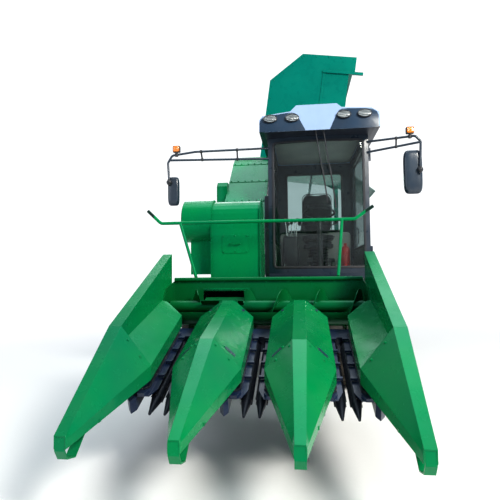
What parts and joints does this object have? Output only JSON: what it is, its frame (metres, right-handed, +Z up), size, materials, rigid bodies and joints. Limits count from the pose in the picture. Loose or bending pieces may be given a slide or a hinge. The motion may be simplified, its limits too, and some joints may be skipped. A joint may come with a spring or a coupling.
{
  "type": "corn combine harvester",
  "caption": "Self-propelled corn harvester with a row header, side elevator, glazed cab and an ear bin tipped for unloading.",
  "frame": {"origin": "on the ground under the middle of the machine's outline", "axes": "+X to the machine's left, +Y to its rear, +Z up; the row header points along -Y"},
  "size_m": [2.9578, 6.4, 4.6991],
  "materials": {
    "green_paint": "gloss",
    "dark_paint": "satin",
    "rim_paint": "satin",
    "roof_plastic": "satin",
    "black_plastic": "matte",
    "lamp_plastic": "gloss",
    "seat_fabric": "matte",
    "window_glass": "gloss",
    "rod_chrome": "polished",
    "roll_iron": "worn",
    "tyre_rubber": "matte"
  },
  "bodies": {
    "machine": {"chassis_frame": "dark_paint", "front_axle": "dark_paint", "rear_axle": "dark_paint", "engine_block": "dark_paint", "cooling_unit": "dark_paint", "fuel_tank": "dark_paint", "cab_floor": "green_paint", "cab_front_frame": "dark_paint", "cab_side_wall": "green_paint", "cab_rear_wall": "green_paint", "cab_glass": "window_glass", "cab_roof": "roof_plastic", "lamps": "lamp_plastic", "driver_seat": "seat_fabric", "driver_controls": "dark_paint", "mirror_arms": "dark_paint", "mirrors": "black_plastic", "elevator": "green_paint", "cleaning_fan": "green_paint", "bin_frame": "green_paint", "chopper_housing": "green_paint", "cab_steps": "dark_paint"},
    "header": {"header_frame": "green_paint", "divider_snouts": "green_paint", "divider_hoods": "green_paint", "row_units": "dark_paint", "stalk_bar": "green_paint"},
    "auger": {"header_auger": "green_paint"},
    "lift_barrel_pair": {"lift_barrels": "dark_paint"},
    "lift_rod_pair": {"lift_rods": "rod_chrome"},
    "door": {"cab_door": "green_paint", "door_glass": "window_glass"},
    "bin": {"ear_bin": "green_paint"},
    "bin_barrel_pair": {"bin_barrels": "dark_paint"},
    "bin_rod_pair": {"bin_rods": "rod_chrome"},
    "steer_knuckle_left": {"knuckle_left": "dark_paint"},
    "steer_knuckle_right": {"knuckle_right": "dark_paint"},
    "track_rod": {"tie_rod": "dark_paint"},
    "chopper": {"chopper_rotor": "dark_paint"},
    "front_wheel_left": {"front_tyre_left": "tyre_rubber", "front_rim_left": "rim_paint"},
    "front_wheel_right": {"front_tyre_right": "tyre_rubber", "front_rim_right": "rim_paint"},
    "rear_wheel_left": {"rear_tyre_left": "tyre_rubber", "rear_rim_left": "rim_paint"},
    "rear_wheel_right": {"rear_tyre_right": "tyre_rubber", "rear_rim_right": "rim_paint"},
    "snap_right_a": {"roll_right_a": "roll_iron"},
    "snap_right_b": {"roll_right_b": "roll_iron"},
    "snap_middle_a": {"roll_middle_a": "roll_iron"},
    "snap_middle_b": {"roll_middle_b": "roll_iron"},
    "snap_left_a": {"roll_left_a": "roll_iron"},
    "snap_left_b": {"roll_left_b": "roll_iron"}
  },
  "joints": [
    {"name": "header_lift", "type": "hinge", "parent": "machine", "child": "header", "pos_m": [-0.18912, -0.9, 1], "axis": [-1, 0, 0], "range_deg": [-7, 10]},
    {"name": "auger_spin", "type": "hinge", "parent": "header", "child": "auger", "pos_m": [-0.18912, -1.445, 0.97], "axis": [1, 0, 0], "continuous": true},
    {"name": "lift_barrel_swing", "type": "hinge", "parent": "machine", "child": "lift_barrel_pair", "pos_m": [-0.18912, -0.37, 0.48], "axis": [-1, 0, 0], "range_deg": [-2.35, 3.27]},
    {"name": "lift_rod_slide", "type": "slide", "parent": "lift_barrel_pair", "child": "lift_rod_pair", "axis": [0, -0.987, 0.1607], "range_m": [-0.0526, 0.0748]},
    {"name": "door_swing", "type": "hinge", "parent": "machine", "child": "door", "pos_m": [0.95288, -0.09, 2.05], "axis": [0, 0, -1], "range_deg": [0, 75]},
    {"name": "bin_tip", "type": "hinge", "parent": "machine", "child": "bin", "pos_m": [0.80088, 2.181, 2.85], "axis": [0, 1, 0], "range_deg": [-98, 0]},
    {"name": "bin_barrel_swing", "type": "hinge", "parent": "machine", "child": "bin_barrel_pair", "pos_m": [0.11088, 2.181, 1.64], "axis": [0, 1, 0], "range_deg": [-0.2, 19.86]},
    {"name": "bin_rod_slide", "type": "slide", "parent": "bin_barrel_pair", "child": "bin_rod_pair", "axis": [0.1806, 0, 0.9836], "range_m": [-0.6684, 0.001]},
    {"name": "chopper_spin", "type": "hinge", "parent": "machine", "child": "chopper", "pos_m": [-0.18912, 0.95, 0.34], "axis": [1, 0, 0], "continuous": true},
    {"name": "roll_spin_right_a", "type": "hinge", "parent": "header", "child": "snap_right_a", "pos_m": [-0.83912, -2.08248, 0.55381], "axis": [0, 0.9397, 0.342], "continuous": true},
    {"name": "roll_spin_right_b", "type": "hinge", "parent": "header", "child": "snap_right_b", "pos_m": [-0.73912, -2.08248, 0.55381], "axis": [0, 0.9397, 0.342], "continuous": true},
    {"name": "roll_spin_middle_a", "type": "hinge", "parent": "header", "child": "snap_middle_a", "pos_m": [-0.23912, -2.08248, 0.55381], "axis": [0, 0.9397, 0.342], "continuous": true},
    {"name": "roll_spin_middle_b", "type": "hinge", "parent": "header", "child": "snap_middle_b", "pos_m": [-0.13912, -2.08248, 0.55381], "axis": [0, 0.9397, 0.342], "continuous": true},
    {"name": "roll_spin_left_a", "type": "hinge", "parent": "header", "child": "snap_left_a", "pos_m": [0.36088, -2.08248, 0.55381], "axis": [0, 0.9397, 0.342], "continuous": true},
    {"name": "roll_spin_left_b", "type": "hinge", "parent": "header", "child": "snap_left_b", "pos_m": [0.46088, -2.08248, 0.55381], "axis": [0, 0.9397, 0.342], "continuous": true},
    {"name": "front_wheel_spin_left", "type": "hinge", "parent": "machine", "child": "front_wheel_left", "pos_m": [0.64088, -0.2, 0.56], "axis": [1, 0, 0], "continuous": true},
    {"name": "steer_left", "type": "hinge", "parent": "machine", "child": "steer_knuckle_left", "pos_m": [0.40088, 2.45, 0.4], "axis": [0, 0, 1], "range_deg": [-30, 30]},
    {"name": "rear_wheel_spin_left", "type": "hinge", "parent": "steer_knuckle_left", "child": "rear_wheel_left", "pos_m": [0.59088, 2.45, 0.4], "axis": [1, 0, 0], "continuous": true},
    {"name": "front_wheel_spin_right", "type": "hinge", "parent": "machine", "child": "front_wheel_right", "pos_m": [-1.01912, -0.2, 0.56], "axis": [1, 0, 0], "continuous": true},
    {"name": "steer_right", "type": "hinge", "parent": "machine", "child": "steer_knuckle_right", "pos_m": [-0.77912, 2.45, 0.4], "axis": [0, 0, 1], "range_deg": [-30, 30]},
    {"name": "rear_wheel_spin_right", "type": "hinge", "parent": "steer_knuckle_right", "child": "rear_wheel_right", "pos_m": [-0.96912, 2.45, 0.4], "axis": [1, 0, 0], "continuous": true},
    {"name": "track_rod_slide", "type": "slide", "parent": "machine", "child": "track_rod", "axis": [1, 0, 0], "range_m": [-0.076, 0.076]}
  ],
  "couplings": [
    {"joint": "lift_barrel_swing", "follows": "header_lift", "ratio": 0.3074},
    {"joint": "lift_rod_slide", "follows": "header_lift", "m_per_rad": 0.4226},
    {"joint": "bin_barrel_swing", "follows": "bin_tip", "ratio": -0.2006},
    {"joint": "bin_rod_slide", "follows": "bin_tip", "m_per_rad": 0.3902},
    {"joint": "steer_right", "follows": "steer_left", "ratio": 1},
    {"joint": "track_rod_slide", "follows": "steer_left", "m_per_rad": 0.1432}
  ]
}
